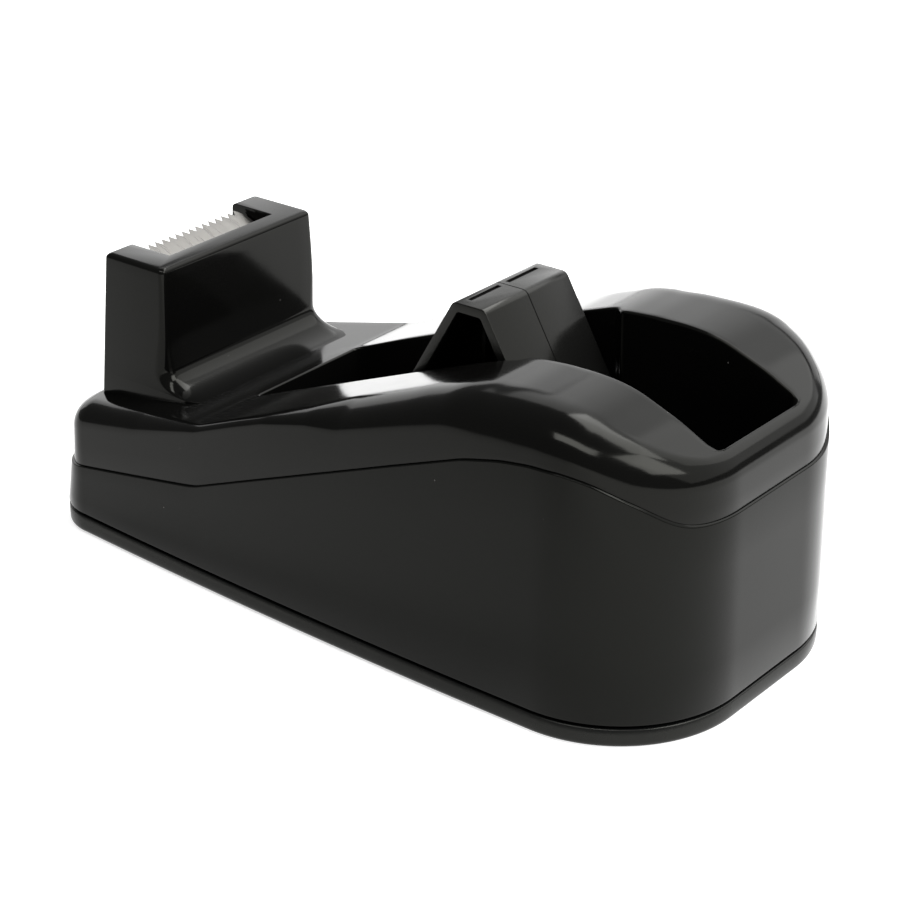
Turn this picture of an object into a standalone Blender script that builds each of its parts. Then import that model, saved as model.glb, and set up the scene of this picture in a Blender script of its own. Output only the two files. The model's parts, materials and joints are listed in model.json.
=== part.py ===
"""Desktop tape dispenser: weighted body, serrated cutter head and a lift-out triangular hub.

Frame: metres. +X runs from the cutter head to the roll end, +Y to the far side, +Z up.
The origin is the middle of the footprint, at the height the rubber feet stand on.
Sizes below are in millimetres and are multiplied by MM where a mesh is made.
"""
import math

import bmesh
import bpy
import numpy as np

MM = 0.001

# Overall plan of the body
HALF_LENGTH = 113.3
BACK_HALF_WIDTH = 56.5
WIDTH_TAPER = (2.9, -10.7)
BACK_RADIUS = 39.8
FRONT = -122.0
FRONT_RADIUS = 17.0
MIDDLE = (FRONT + HALF_LENGTH) / 2  # the middle of the footprint, where the frame has its zero

# Heights of the base, from the ground up
FOOT_HEIGHT = 1.5
FLOOR = -0.8  # the ground, below the zero of the heights used here
PLATE_BOTTOM = -0.5
PLATE_EDGE = 5.3
PLATE_TOP = 6.1
BODY_BOTTOM = 6.3
WALL = 2.5

# Side profiles, as x and z pairs
SEAM = [(-113.3, 21.2), (-103, 23), (-56, 32.0), (-51.5, 33.6), (-31.8, 41.7), (-2.8, 53.4), (24.2, 64.2), (49.4, 74.0),
        (62, 77.3), (72, 78.8), (81, 78.9), (85, 78.2), (89, 77.3), (92.2, 75.8), (96, 73.7), (100, 71.3), (102.3, 69.3),
        (105.3, 66.5), (108, 64.2), (110, 63.4), (113.3, 63.3)]
TOP = [(-122, 40.0), (-97, 44.1), (-78, 47.6), (-54, 52.0), (-36.6, 59.3), (-20.8, 65.5), (9.3, 77.5),
       (28.8, 85.3), (42, 90.0), (48.3, 91.4), (58, 92.3), (68.9, 92.5), (76, 92.0), (81.9, 90.9), (95, 86.0),
       (106.6, 80.2), (113.3, 76.9)]

# Well
WELL_FRONT = -54.0
WELL_BACK = 106.6
WELL_HALF = 23.7
WELL_HALF_BACK = 20.7
WELL_STEP_X = 45.0
WELL_FLOOR = 12.0
TUB_WALL = 2.4

# Cutter head
HEAD_TOP = 88.7
HEAD_SECTIONS = [  # z, front x, rear x, half width, corner radius
    (40.0, -107.7, -66.0, 36.2, 1.6),
    (49.6, -107.3, -66.0, 35.7, 1.6),
    (49.85, -107.3, -69.8, 35.7, 1.6),
    (50.6, -107.2, -73.3, 35.7, 1.6),
    (51.8, -107.2, -76.3, 35.6, 1.6),
    (53.3, -107.1, -78.6, 35.5, 1.6),
    (55.1, -107.0, -80.0, 35.4, 1.6),
    (57.0, -106.9, -80.5, 35.3, 1.6),
    (74.0, -106.1, -80.9, 34.3, 1.6), (87.2, -105.5, -81.3, 33.6, 1.6), (88.2, -105.1, -81.7, 33.2, 1.4),
    (88.7, -104.3, -82.5, 32.4, 1.0)]
SLOT_HALF = 23.0
SLOT_REAR = -88.4
SLOT_FLOOR = 75.0
BLADE_TIP = (-102.7, 87.6)
BLADE_HEEL = (-88.8, 81.8)
BLADE_THICK = 0.8
BLADE_HALF = 22.4
TOOTH_PITCH = 2.95
TOOTH_DEPTH = 2.3

# Hub
AXIS_X = 23.2
AXIS_Z = 61.7
HUB_HALF_LENGTH = 19.2
HUB_TIP = 37.7
HUB_FLAT = 5.6
HUB_WALL = 3.0
HUB_SPLIT = 0.3
TUBE_OUTER = 6.5
AXLE_RADIUS = 4.0
BORE_CLEARANCE = 0.08
AXLE_END_RADIUS = 3.0
AXLE_HALF_LENGTH = 25.3
AXLE_SHOULDER = 20.3
GROOVE_DEPTH = 2.2

# Screws and feet
SCREW_HEAD = 3.2
SCREW_SHAFT = 1.4
BOSS_RADIUS = 3.6
BASE_SCREWS = [(-84.0, 41.5), (14.0, 47.0), (99.0, 34.0)]
FEET = [(-92.0, 33.0), (86.0, 34.0)]
FOOT_RADIUS = 7.0

COLOURS = {
    "cover_plastic": (0.012, 0.012, 0.012, 1.0, 0.18, 0.0),
    "body_plastic": (0.014, 0.014, 0.014, 1.0, 0.22, 0.0),
    "base_plastic": (0.012, 0.012, 0.012, 1.0, 0.4, 0.0),
    "hub_plastic": (0.014, 0.014, 0.014, 1.0, 0.3, 0.0),
    "blade_steel": (0.62, 0.60, 0.56, 1.0, 0.3, 1.0),
    "screw_steel": (0.45, 0.45, 0.45, 1.0, 0.35, 1.0),
    "ballast_iron": (0.10, 0.10, 0.10, 1.0, 0.8, 1.0),
    "foot_rubber": (0.02, 0.02, 0.02, 1.0, 0.9, 0.0),
}


def clear_scene():
    for obj in list(bpy.data.objects):
        bpy.data.objects.remove(obj, do_unlink=True)


def make_materials():
    made = {}
    for name, (red, green, blue, alpha, rough, metal) in COLOURS.items():
        material = bpy.data.materials.new(name)
        material.use_nodes = True
        shader = material.node_tree.nodes["Principled BSDF"]
        shader.inputs["Base Color"].default_value = (red, green, blue, alpha)
        shader.inputs["Roughness"].default_value = rough
        shader.inputs["Metallic"].default_value = metal
        made[name] = material
    return made


def follow(profile, x):
    """Height of a side profile at x."""
    return float(np.interp(x, [p[0] for p in profile], [p[1] for p in profile]))


def half_width(x):
    t = (HALF_LENGTH - x) / (2 * HALF_LENGTH)
    return BACK_HALF_WIDTH + WIDTH_TAPER[0] * t + WIDTH_TAPER[1] * t * t


def corner_width(x):
    """Half width of the plan within the rounded back corner."""
    run = x - (HALF_LENGTH - BACK_RADIUS)
    return half_width(HALF_LENGTH - BACK_RADIUS) - BACK_RADIUS + math.sqrt(BACK_RADIUS ** 2 - run ** 2)


def mesh_object(name, points, faces, material=None, helper=False):
    mesh = bpy.data.meshes.new(name)
    mesh.from_pydata([((x - MIDDLE) * MM, y * MM, (z - FLOOR) * MM) for x, y, z in points], [], faces)
    mesh.validate()
    shape = bmesh.new()
    shape.from_mesh(mesh)
    bmesh.ops.triangulate(shape, faces=shape.faces)
    bmesh.ops.recalc_face_normals(shape, faces=shape.faces)
    shape.to_mesh(mesh)
    shape.free()
    obj = bpy.data.objects.new(name, mesh)
    bpy.context.scene.collection.objects.link(obj)
    if material:
        mesh.materials.append(material)
    if helper:
        obj.hide_render = True
        obj.display_type = "WIRE"
    return obj


def combine(obj, other, operation):
    """Applies one exact Boolean and removes the other object."""
    modifier = obj.modifiers.new("combine", "BOOLEAN")
    modifier.operation = operation
    modifier.solver = "EXACT"
    modifier.object = other
    bpy.context.view_layer.update()
    graph = bpy.context.evaluated_depsgraph_get()
    result = bpy.data.meshes.new_from_object(obj.evaluated_get(graph))
    obj.modifiers.remove(modifier)
    obj.data = result
    bpy.data.objects.remove(other, do_unlink=True)
    return obj


def gather(helpers):
    """Joins helpers that don't touch each other into the first one."""
    shape = bmesh.new()
    for helper in helpers:
        shape.from_mesh(helper.data)
    shape.to_mesh(helpers[0].data)
    shape.free()
    for helper in helpers[1:]:
        bpy.data.objects.remove(helper, do_unlink=True)
    return helpers[0]


def loft(rings, closed=False, straight=3):
    """Points and faces of equal rings joined in order.

    The ends are capped in strips from the near half to the far half. straight is how many points
    on each side of the middle belong to one face at the front and at the back.
    """
    count = len(rings[0])
    points = [p for ring in rings for p in ring]
    faces = []
    spans = len(rings) if closed else len(rings) - 1
    for k in range(spans):
        a = k * count
        b = ((k + 1) % len(rings)) * count
        for i in range(count):
            j = (i + 1) % count
            faces.append((a + i, a + j, b + j, b + i))
    if not closed:
        half = count // 2
        for base in (0, (len(rings) - 1) * count):
            faces.append(tuple(base + i % count for i in range(-straight, straight + 1)))
            for i in range(straight, half - straight):
                faces.append((base + i, base + i + 1, base + count - i - 1, base + count - i))
            faces.append(tuple(base + i for i in range(half - straight, half + straight + 1)))
    return points, faces


def plan_points():
    """Near half of the plan outline, from the middle of the front to the middle of the back: x, y and outward normal."""
    found = []
    front_x = FRONT
    centre_x = front_x + FRONT_RADIUS
    centre_y = -(half_width(centre_x) - FRONT_RADIUS)
    for y in (0.0, 0.5 * centre_y):
        found.append((front_x, y, -1.0, 0.0))
    for k in range(7):
        turn = math.radians(180 + 15 * k)
        nx, ny = math.cos(turn), math.sin(turn)
        found.append((centre_x + FRONT_RADIUS * nx, centre_y + FRONT_RADIUS * ny, nx, ny))
    for x in (-98, -90, -82, -72, -64, -58, -54.5, -51, -44, -34, -20, -5, 10, 25, 36, 45, 54, 64):
        found.append((float(x), -half_width(x), 0.0, -1.0))
    centre_x = HALF_LENGTH - BACK_RADIUS
    centre_y = -(half_width(centre_x) - BACK_RADIUS)
    for k in range(13):
        turn = math.radians(270 + 7.5 * k)
        nx, ny = math.cos(turn), math.sin(turn)
        found.append((centre_x + BACK_RADIUS * nx, centre_y + BACK_RADIUS * ny, nx, ny))
    found.append((HALF_LENGTH, 0.5 * centre_y, 1.0, 0.0))
    found.append((HALF_LENGTH, 0.0, 1.0, 0.0))
    return found


PLAN = plan_points()


def mirrored(near):
    """Whole ring from its near half, whose first and last points lie on the middle plane."""
    return near + [(x, -y, z) for x, y, z in reversed(near[1:-1])]


def ring(inset, height, lean=0.0):
    """Ring at an inset from the plan outline. inset and height may be functions of x; lean moves the front face back."""
    near = []
    for x, y, nx, ny in PLAN:
        depth = inset(x) if callable(inset) else inset
        px = x - nx * depth + max(0.0, -nx) * lean
        py = y - ny * depth
        pz = height(px) if callable(height) else height
        near.append((px, min(py, 0.0), pz))
    return mirrored(near)


def inner_ring(front, back, widths, height, front_radius, back_radius):
    """Ring with the same number of points as the plan, round a smaller opening. widths gives the half width at x.

    Its side points keep the x of the outer ones where they can, so the faces between run straight across.
    """
    near = []
    side_front = front + front_radius
    side_back = back - back_radius
    turn_x = HALF_LENGTH - BACK_RADIUS
    arc_start = len(PLAN) - 15
    for k, (x, y, nx, ny) in enumerate(PLAN):
        if k < 2:
            half = widths(side_front) - front_radius
            near.append((front, -half * k / 2.0, height(front)))
        elif k < 9:
            px = side_front + front_radius * nx
            py = -(widths(side_front) - front_radius) + front_radius * ny
            near.append((px, py, height(px)))
        elif k < arc_start:
            px = max(x, side_front + 0.25 * (k - 8))
            near.append((px, -widths(px), height(px)))
        elif k < arc_start + 5:
            px = turn_x + (side_back - turn_x) * (k - arc_start + 0.1) / 5.1
            near.append((px, -widths(px), height(px)))
        elif k < arc_start + 13:
            turn = math.radians(270 + 90 * (k - arc_start - 5) / 7.0)
            px = side_back + back_radius * math.cos(turn)
            py = -(widths(side_back) - back_radius) + back_radius * math.sin(turn)
            near.append((px, py, height(px)))
        else:
            half = widths(side_back) - back_radius
            step = len(PLAN) - 1 - k
            near.append((back, -half * step / 2.0, height(back)))
    return mirrored(near)


def rounded_section(z, x0, x1, half, radius, steps=4):
    """Rounded rectangle, from the middle of the front round the near side to the middle of the back, then mirrored."""
    near = [(x0, 0.0, z)]
    for cx, start in ((x0 + radius, 180), (x1 - radius, 270)):
        for k in range(steps + 1):
            turn = math.radians(start + 90 * k / steps)
            near.append((cx + radius * math.cos(turn), -(half - radius) + radius * math.sin(turn), z))
    near.append((x1, 0.0, z))
    return mirrored(near)


def cylinder(name, x, y, z0, z1, radius, sides=24, material=None, helper=False):
    points = []
    for z in (z0, z1):
        for k in range(sides):
            turn = 2 * math.pi * k / sides
            points.append((x + radius * math.cos(turn), y + radius * math.sin(turn), z))
    faces = [tuple(range(sides)), tuple(range(sides, 2 * sides))]
    faces += [(k, (k + 1) % sides, sides + (k + 1) % sides, sides + k) for k in range(sides)]
    return mesh_object(name, points, faces, material, helper)


def turned(name, x, y, steps, sides=24, material=None, helper=False):
    """Solid of revolution about a vertical line. steps is a list of radius and z, from the bottom up."""
    points = []
    for radius, z in steps:
        for k in range(sides):
            turn = 2 * math.pi * k / sides
            points.append((x + radius * math.cos(turn), y + radius * math.sin(turn), z))
    faces = [tuple(range(sides)), tuple(range((len(steps) - 1) * sides, len(steps) * sides))]
    for s in range(len(steps) - 1):
        a, b = s * sides, (s + 1) * sides
        faces += [(a + k, a + (k + 1) % sides, b + (k + 1) % sides, b + k) for k in range(sides)]
    return mesh_object(name, points, faces, material, helper)


def across(name, outline, y0, y1, material=None, helper=False):
    """Solid with one side outline, a list of x and z, from y0 to y1."""
    count = len(outline)
    points = [(x, y, z) for y in (y0, y1) for x, z in outline]
    faces = [tuple(range(count)), tuple(range(count, 2 * count))]
    faces += [(k, (k + 1) % count, count + (k + 1) % count, count + k) for k in range(count)]
    return mesh_object(name, points, faces, material, helper)


def box(name, x0, x1, y0, y1, z0, z1, material=None, helper=False):
    return across(name, [(x0, z0), (x1, z0), (x1, z1), (x0, z1)], y0, y1, material, helper)


def disc_across(radius, x=AXIS_X, z=AXIS_Z, sides=32):
    return [(x + radius * math.cos(2 * math.pi * k / sides), z + radius * math.sin(2 * math.pi * k / sides))
            for k in range(sides)]


def shoulder_reach(x):
    """How far in the rounded shoulder runs at x."""
    return float(np.interp(x, [-112, -80, -56, -25, -8, 4, 42, 52, 88, 104, 112],
                           [8.0, 6.5, 3.2, 3.4, 7.0, 12.0, 13.0, 15.0, 14.0, 7.5, 4.2]))


def shoulder_drop(x):
    """How far down the rounded shoulder runs at x."""
    room = follow(TOP, x) - follow(SEAM, x) - 2.0
    return min(room, float(np.interp(x, [-112, -80, -56, -25, -8, 4, 42, 52, 88, 104, 112],
                                     [8.0, 6.5, 3.2, 3.4, 5.0, 8.0, 10.0, 11.5, 11.0, 7.5, 5.0])))


def ledge_half(x):
    return float(np.interp(x, [-60, 41, 52, 90, 112], [38.0, 38.0, 29.0, 27.0, 27.0]))


def well_half(x):
    return float(np.interp(x, [WELL_STEP_X - 2.5, WELL_STEP_X + 0.5], [WELL_HALF, WELL_HALF_BACK]))


def cover_rings(skin, start):
    """Rings of the cover from its lower edge to the middle of its top. skin moves every face inwards."""
    rings = [ring(0.9 + skin, start, 3.2)]
    rings.append(ring(1.1 + skin, lambda x: follow(TOP, x) - skin - max(shoulder_drop(x), 4.0), 3.7))
    for k in range(1, 7):
        turn = math.radians(15 * k)

        def inset(x, turn=turn):
            return 1.1 + skin + shoulder_reach(x) * (1 - math.cos(turn))

        def height(x, turn=turn):
            return follow(TOP, x) - skin - shoulder_drop(x) * (1 - math.sin(turn))

        rings.append(ring(inset, height, 3.7 + 0.4 * k / 6))
    rings.append(inner_ring(-60, 107.2 - 1.1 * skin, ledge_half, lambda x: follow(TOP, x) - skin, 2.0, 14.0))
    rings.append(inner_ring(WELL_FRONT + 1.5, WELL_BACK - 1.5 - 1.1 * skin, lambda x: well_half(x) - 1.5,
                            lambda x: follow(TOP, x) - skin, 1.0, 2.0))
    return rings


def tub_outline(front, back, grow, radius=1.6):
    """Plan of the well grown by a wall, as a closed list of x and y."""
    near = []
    for cx, half, start in ((front + radius, WELL_HALF + grow, 180), (back - radius, WELL_HALF_BACK + grow, 270)):
        if start == 270:
            for k in range(5):
                turn = math.radians(90 - 22.5 * k)
                near.append((WELL_STEP_X - 2.5 + 3.0 * math.cos(turn) * 1.0,
                             -(WELL_HALF_BACK + grow) - 3.0 * math.sin(turn)))
        for k in range(5):
            turn = math.radians(start + 22.5 * k)
            near.append((cx + radius * math.cos(turn), -(half - radius) + radius * math.sin(turn)))
    return near + [(x, -y) for x, y in reversed(near)]


def upright(name, outline, bottom, top):
    """Solid over a plan outline. bottom and top may be functions of x. Its ends are cut into strips across."""
    count = len(outline)
    points = []
    for level in (bottom, top):
        for x, y in outline:
            points.append((x, y, level(x) if callable(level) else level))
    faces = [(k, (k + 1) % count, count + (k + 1) % count, count + k) for k in range(count)]
    for base in (0, count):
        for i in range(count // 2 - 1):
            faces.append((base + i, base + i + 1, base + count - 2 - i, base + count - 1 - i))
    return mesh_object(name, points, faces, helper=True)


def make_cover(materials):
    cover = mesh_object("top_cover", *loft(cover_rings(0.0, lambda x: follow(SEAM, x) + 0.3)),
                        material=materials["cover_plastic"])
    head = mesh_object("head", *loft([rounded_section(*s) for s in HEAD_SECTIONS], straight=2), helper=True)
    combine(cover, head, "UNION")
    hollow = mesh_object("hollow", *loft(cover_rings(WALL, lambda x: follow(SEAM, x) - 4.0)), helper=True)
    combine(cover, hollow, "DIFFERENCE")
    sections = [(z, x0 + WALL, x1 - WALL, half - WALL, 1.5) for z, x0, x1, half, r in HEAD_SECTIONS if 50.2 < z < 57]
    sections = [(40.0, -104.0, -72.0, 34.0, 1.5)] + [s for s in sections if s[2] < -72] + [(72.2, -103.0, -83.6, 31.4, 1.5)]
    head_hollow = mesh_object("head_hollow", *loft([rounded_section(*s) for s in sections], straight=2), helper=True)
    combine(cover, head_hollow, "DIFFERENCE")
    dense = refine(tub_outline(WELL_FRONT - TUB_WALL, WELL_BACK + TUB_WALL, TUB_WALL))
    tub = upright("tub", dense, WELL_FLOOR - TUB_WALL, lambda x: follow(TOP, x) - 1.3)
    combine(cover, tub, "UNION")
    for side in (-1, 1):
        y0, y1 = sorted((side * (WELL_HALF + 1.0), side * (WELL_HALF + 6.0)))
        top = follow(TOP, AXIS_X - 8) - 1.5
        pad = across("pad", [(AXIS_X - 8, 48), (AXIS_X + 8, 48), (AXIS_X + 8, top + 5.5), (AXIS_X - 8, top)], y0, y1,
                     helper=True)
        combine(cover, pad, "UNION")
    well = upright("well", refine(tub_outline(WELL_FRONT, WELL_BACK, 0.0)), WELL_FLOOR, 120.0)
    combine(cover, well, "DIFFERENCE")
    groove = [(AXIS_X - 3.2, 110.0)]
    groove += [(AXIS_X + 3.2 * math.cos(a), AXIS_Z + 3.2 * math.sin(a)) for a in np.linspace(math.pi, 2 * math.pi, 13)]
    groove += [(AXIS_X + 3.2, 110.0)]
    reach = WELL_HALF + GROOVE_DEPTH
    combine(cover, across("groove", groove, -reach, reach, helper=True), "DIFFERENCE")
    slot = box("slot", -120, SLOT_REAR, -SLOT_HALF, SLOT_HALF, SLOT_FLOOR, 100, helper=True)
    combine(cover, slot, "DIFFERENCE")
    return cover


def refine(outline, longest=9.0):
    """The same outline with its long straight runs cut up. Both halves get the same cuts."""
    half = outline[:len(outline) // 2]
    near = [half[0]]
    for a, b in zip(half, half[1:]):
        pieces = max(1, math.ceil(math.hypot(b[0] - a[0], b[1] - a[1]) / longest)) if abs(b[1] - a[1]) < 0.5 else 1
        for k in range(1, pieces + 1):
            near.append((a[0] + (b[0] - a[0]) * k / pieces, a[1] + (b[1] - a[1]) * k / pieces))
    return near + [(x, -y) for x, y in reversed(near)]


def boss(x, y, reach):
    """Screw boss with a web that runs out to the side wall."""
    side = math.copysign(1.0, y)
    half_web = 1.2
    first = math.asin(half_web / BOSS_RADIUS)
    outline = []
    for k in range(17):
        turn = first + (2 * math.pi - 2 * first) * k / 16
        outline.append((x + BOSS_RADIUS * math.sin(turn), y + side * BOSS_RADIUS * math.cos(turn)))
    outline += [(x - half_web, side * reach), (x + half_web, side * reach)]
    count = len(outline)
    points = [(px, py, z) for z in (BODY_BOTTOM + 0.33, 18.0) for px, py in outline]
    faces = [tuple(range(count)), tuple(range(count, 2 * count))]
    faces += [(k, (k + 1) % count, count + (k + 1) % count, count + k) for k in range(count)]
    return mesh_object("boss", points, faces, helper=True)


def make_lower_body(materials):
    def seam(x):
        return follow(SEAM, x)

    rings = [ring(0.0, BODY_BOTTOM), ring(0.35, lambda x: 0.5 * (seam(x) + BODY_BOTTOM), 1.3), ring(0.6, seam, 2.6)]
    rings += [ring(0.6 + WALL, seam, 2.6), ring(0.4 + WALL, lambda x: 0.5 * (seam(x) + BODY_BOTTOM), 1.3),
              ring(WALL, BODY_BOTTOM)]
    body = mesh_object("lower_body", *loft(rings, closed=True), material=materials["body_plastic"])
    bosses = []
    pilots = []
    for x, y in screw_places():
        wall = half_width(x) if x < HALF_LENGTH - BACK_RADIUS else corner_width(x)
        bosses.append(boss(x, y, wall - 1.27))
        pilots.append(cylinder("pilot", x, y, 0.0, 16.0, SCREW_SHAFT + 0.2, 16, helper=True))
    combine(body, gather(bosses), "UNION")
    combine(body, gather(pilots), "DIFFERENCE")
    return body


def screw_places():
    return [(x, side * y) for x, y in BASE_SCREWS for side in (-1, 1)]


def foot_places():
    return [(x, side * y) for x, y in FEET for side in (-1, 1)]


def make_base(materials):
    rings = [ring(1.5, PLATE_BOTTOM), ring(0.7, PLATE_BOTTOM + 0.3), ring(0.2, PLATE_BOTTOM + 0.9),
             ring(0.0, PLATE_BOTTOM + 1.8), ring(0.0, PLATE_EDGE), ring(1.9, PLATE_EDGE), ring(1.9, PLATE_TOP)]
    plate = mesh_object("base_plate", *loft(rings), material=materials["base_plastic"])
    sinks = [turned("sink", x, y, [(SCREW_HEAD + 0.4, FLOOR - 0.5), (SCREW_HEAD + 0.4, 3.8), (SCREW_SHAFT + 0.3, 3.8),
                                   (SCREW_SHAFT + 0.3, 9.0)], helper=True) for x, y in screw_places()]
    recesses = [cylinder("recess", x, y, FLOOR - 0.5, FLOOR + FOOT_HEIGHT + 0.2, FOOT_RADIUS + 0.3, 32, helper=True) for x, y in foot_places()]
    combine(plate, gather(sinks + recesses), "DIFFERENCE")
    return plate


def blade_line(share, rise=0.0):
    """Point on the blade's upper face, share of the way from the heel to the tips, raised along its normal."""
    dx = BLADE_TIP[0] - BLADE_HEEL[0]
    dz = BLADE_TIP[1] - BLADE_HEEL[1]
    length = math.hypot(dx, dz)
    return (BLADE_HEEL[0] + dx * share + rise * dz / length * 1.0, BLADE_HEEL[1] + dz * share - rise * dx / length)


def make_cutter(materials):
    dx = BLADE_TIP[0] - BLADE_HEEL[0]
    dz = BLADE_TIP[1] - BLADE_HEEL[1]
    length = math.hypot(dx, dz)
    root = 1.0 - TOOTH_DEPTH / length
    teeth = int(2 * BLADE_HALF / TOOTH_PITCH)
    start = -teeth * TOOTH_PITCH / 2
    edge = [(-BLADE_HALF, root)]
    for k in range(teeth):
        edge.append((start + k * TOOTH_PITCH + 0.15, root))
        edge.append((start + (k + 0.5) * TOOTH_PITCH, 1.0))
        edge.append((start + (k + 1) * TOOTH_PITCH - 0.15, root))
    edge.append((BLADE_HALF, root))
    outline = edge + [(BLADE_HALF, 0.0), (-BLADE_HALF, 0.0)]
    points = []
    for rise in (0.0, -BLADE_THICK):
        for y, share in outline:
            x, z = blade_line(share, rise)
            points.append((x, y, z))
    count = len(outline)
    faces = [tuple(range(count)), tuple(range(count, 2 * count))]
    faces += [(k, (k + 1) % count, count + (k + 1) % count, count + k) for k in range(count)]
    blade = mesh_object("cutter_blade", points, faces, materials["blade_steel"])
    gap = BLADE_THICK + 0.15
    top_front = blade_line(0.80, -gap)
    top_rear = blade_line(0.0, -gap)
    carrier = across("blade_carrier", [(-102.6, SLOT_FLOOR + 0.3), (SLOT_REAR - 0.4, SLOT_FLOOR + 0.3),
                                       (SLOT_REAR - 0.4, top_rear[1]), top_front, (-102.6, top_front[1] - 1.2)],
                     -BLADE_HALF, BLADE_HALF, materials["hub_plastic"])
    places = (("near", -14.0), ("far", 14.0))
    for label, y in places:
        hole_x = blade_line(0.22)[0]
        combine(blade, cylinder("hole", hole_x, y, 70, 95, SCREW_SHAFT + 0.3, 16, helper=True), "DIFFERENCE")
        combine(carrier, cylinder("hole", hole_x, y, SLOT_FLOOR + 1.5, 95, SCREW_SHAFT + 0.2, 16, helper=True), "DIFFERENCE")
        level = blade_line(0.22)[1]
        tilted_screw("blade_screw_" + label, hole_x, y, level, materials["screw_steel"])


def tilted_screw(name, x, y, level, material):
    """Small round-headed screw standing upright through the blade."""
    lift = 1.15
    turned(name, x, y, [(SCREW_SHAFT - 0.1, SLOT_FLOOR + 2.0), (SCREW_SHAFT - 0.1, level + lift),
                        (2.5, level + lift), (2.2, level + lift + 0.6), (1.2, level + lift + 0.9)], 20, material)


def hub_outline(shrink=0.0, turn=0.0):
    """Long-sided six-cornered outline about the hub axis."""
    tip = HUB_TIP - shrink
    flat = HUB_FLAT - shrink * math.tan(math.radians(30))
    corners = []
    for k in range(3):
        angle = math.radians(-120 * k) + turn
        for sx in (-flat, flat):
            x = sx * math.cos(angle) - tip * math.sin(angle)
            z = sx * math.sin(angle) + tip * math.cos(angle)
            corners.append((AXIS_X + x, AXIS_Z + z))
    return rounded(corners, 2.0 if shrink == 0 else 1.0)


def rounded(corners, radius, steps=3):
    """Outline with each corner cut by a short arc."""
    result = []
    count = len(corners)
    for k in range(count):
        p = np.array(corners[k])
        a = np.array(corners[k - 1]) - p
        b = np.array(corners[(k + 1) % count]) - p
        a /= np.linalg.norm(a)
        b /= np.linalg.norm(b)
        half = 0.5 * math.acos(float(np.clip(np.dot(a, b), -1, 1)))
        reach = radius / math.tan(half)
        start = p + a * reach
        end = p + b * reach
        for s in range(steps + 1):
            t = s / steps
            q = (1 - t) ** 2 * start + 2 * t * (1 - t) * p + t * t * end
            result.append((float(q[0]), float(q[1])))
    return result


def make_hub(materials):
    for label, side in (("near", -1), ("far", 1)):
        y0, y1 = sorted((side * HUB_SPLIT / 2, side * HUB_HALF_LENGTH))
        half = across("hub_half_" + label, hub_outline(), y0, y1, materials["hub_plastic"])
        web = side * (HUB_SPLIT / 2 + 2.4)
        c0, c1 = sorted((web, side * (HUB_HALF_LENGTH + 5)))
        hollow = across("hollow", hub_outline(HUB_WALL), c0, c1, helper=True)
        tube_end = side * (HUB_HALF_LENGTH - 1.0)
        t0, t1 = sorted((0.5 * web, tube_end))
        keep = across("keep", disc_across(TUBE_OUTER), t0, t1, helper=True)
        combine(hollow, keep, "DIFFERENCE")
        for k in range(3):
            angle = math.radians(90 - 120 * k)
            along = np.array([math.cos(angle), math.sin(angle)])
            wide = np.array([-along[1], along[0]])
            middle = np.array([AXIS_X, AXIS_Z])
            for offset in (-4.6, 4.6):
                inner = middle + along * 3.0 + wide * offset
                outer = middle + along * (HUB_TIP + 2) + wide * offset
                rib = [tuple(inner - wide * 0.7), tuple(outer - wide * 0.7), tuple(outer + wide * 0.7), tuple(inner + wide * 0.7)]
                r0, r1 = sorted((0.5 * web, side * (HUB_HALF_LENGTH - 4.0)))
                combine(hollow, across("rib", rib, r0, r1, helper=True), "DIFFERENCE")
        combine(half, hollow, "DIFFERENCE")
        b0, b1 = sorted((-side * 5, side * 40))
        bore = across("bore", disc_across(AXLE_RADIUS + BORE_CLEARANCE), b0, b1, helper=True)
        combine(half, bore, "DIFFERENCE")
        place_on_axis(half)
    axle = across("hub_axle", disc_across(AXLE_RADIUS), -AXLE_SHOULDER, AXLE_SHOULDER, materials["screw_steel"])
    combine(axle, across("ends", disc_across(AXLE_END_RADIUS, sides=24), -AXLE_HALF_LENGTH, AXLE_HALF_LENGTH, helper=True), "UNION")
    place_on_axis(axle)


def place_on_axis(obj):
    """Moves the object's origin onto the hub axis, leaving its shape where it is."""
    shift = ((AXIS_X - MIDDLE) * MM, 0.0, (AXIS_Z - FLOOR) * MM)
    for vertex in obj.data.vertices:
        vertex.co.x -= shift[0]
        vertex.co.z -= shift[2]
    obj.location = shift


def make_ballast(materials):
    iron = materials["ballast_iron"]
    front = mesh_object("ballast_front", *loft([rounded_section(7.0, -101, -62, 37, 5), rounded_section(33.0, -99, -62, 37, 5)], straight=2),
                        material=iron)
    sides = [front]
    outline = [(-38, 7.0), (68, 7.0), (68, 46), (20, 46), (-38, 30)]
    for label, side in (("near", -1), ("far", 1)):
        y0, y1 = sorted((side * 31.5, side * 42.0))
        sides.append(across("ballast_" + label, outline, y0, y1, iron))
    return sides


def make_fixings(materials):
    for number, (x, y) in enumerate(screw_places(), 1):
        turned("base_screw_%d" % number, x, y, [(2.2, 1.7), (SCREW_HEAD, 2.1), (SCREW_HEAD, 3.5), (SCREW_SHAFT, 3.5),
                                               (SCREW_SHAFT, 14.5), (0.5, 15.6)], 20, materials["screw_steel"])
    for number, (x, y) in enumerate(foot_places(), 1):
        turned("foot_%d" % number, x, y, [(FOOT_RADIUS - 0.4, FLOOR), (FOOT_RADIUS, FLOOR + 0.4), (FOOT_RADIUS, FLOOR + FOOT_HEIGHT)], 32,
               materials["foot_rubber"])


def main():
    clear_scene()
    materials = make_materials()
    make_cover(materials)
    make_lower_body(materials)
    make_base(materials)
    make_cutter(materials)
    make_hub(materials)
    make_ballast(materials)
    make_fixings(materials)


main()
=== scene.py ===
"""Looks of the desktop tape dispenser: glossy black shells, steel cutter, triangular hub.

Sizes are millimetres. x is counted from MIDDLE and z from FLOOR, and both are taken off where a mesh is made.
"""
import json
import math

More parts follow.
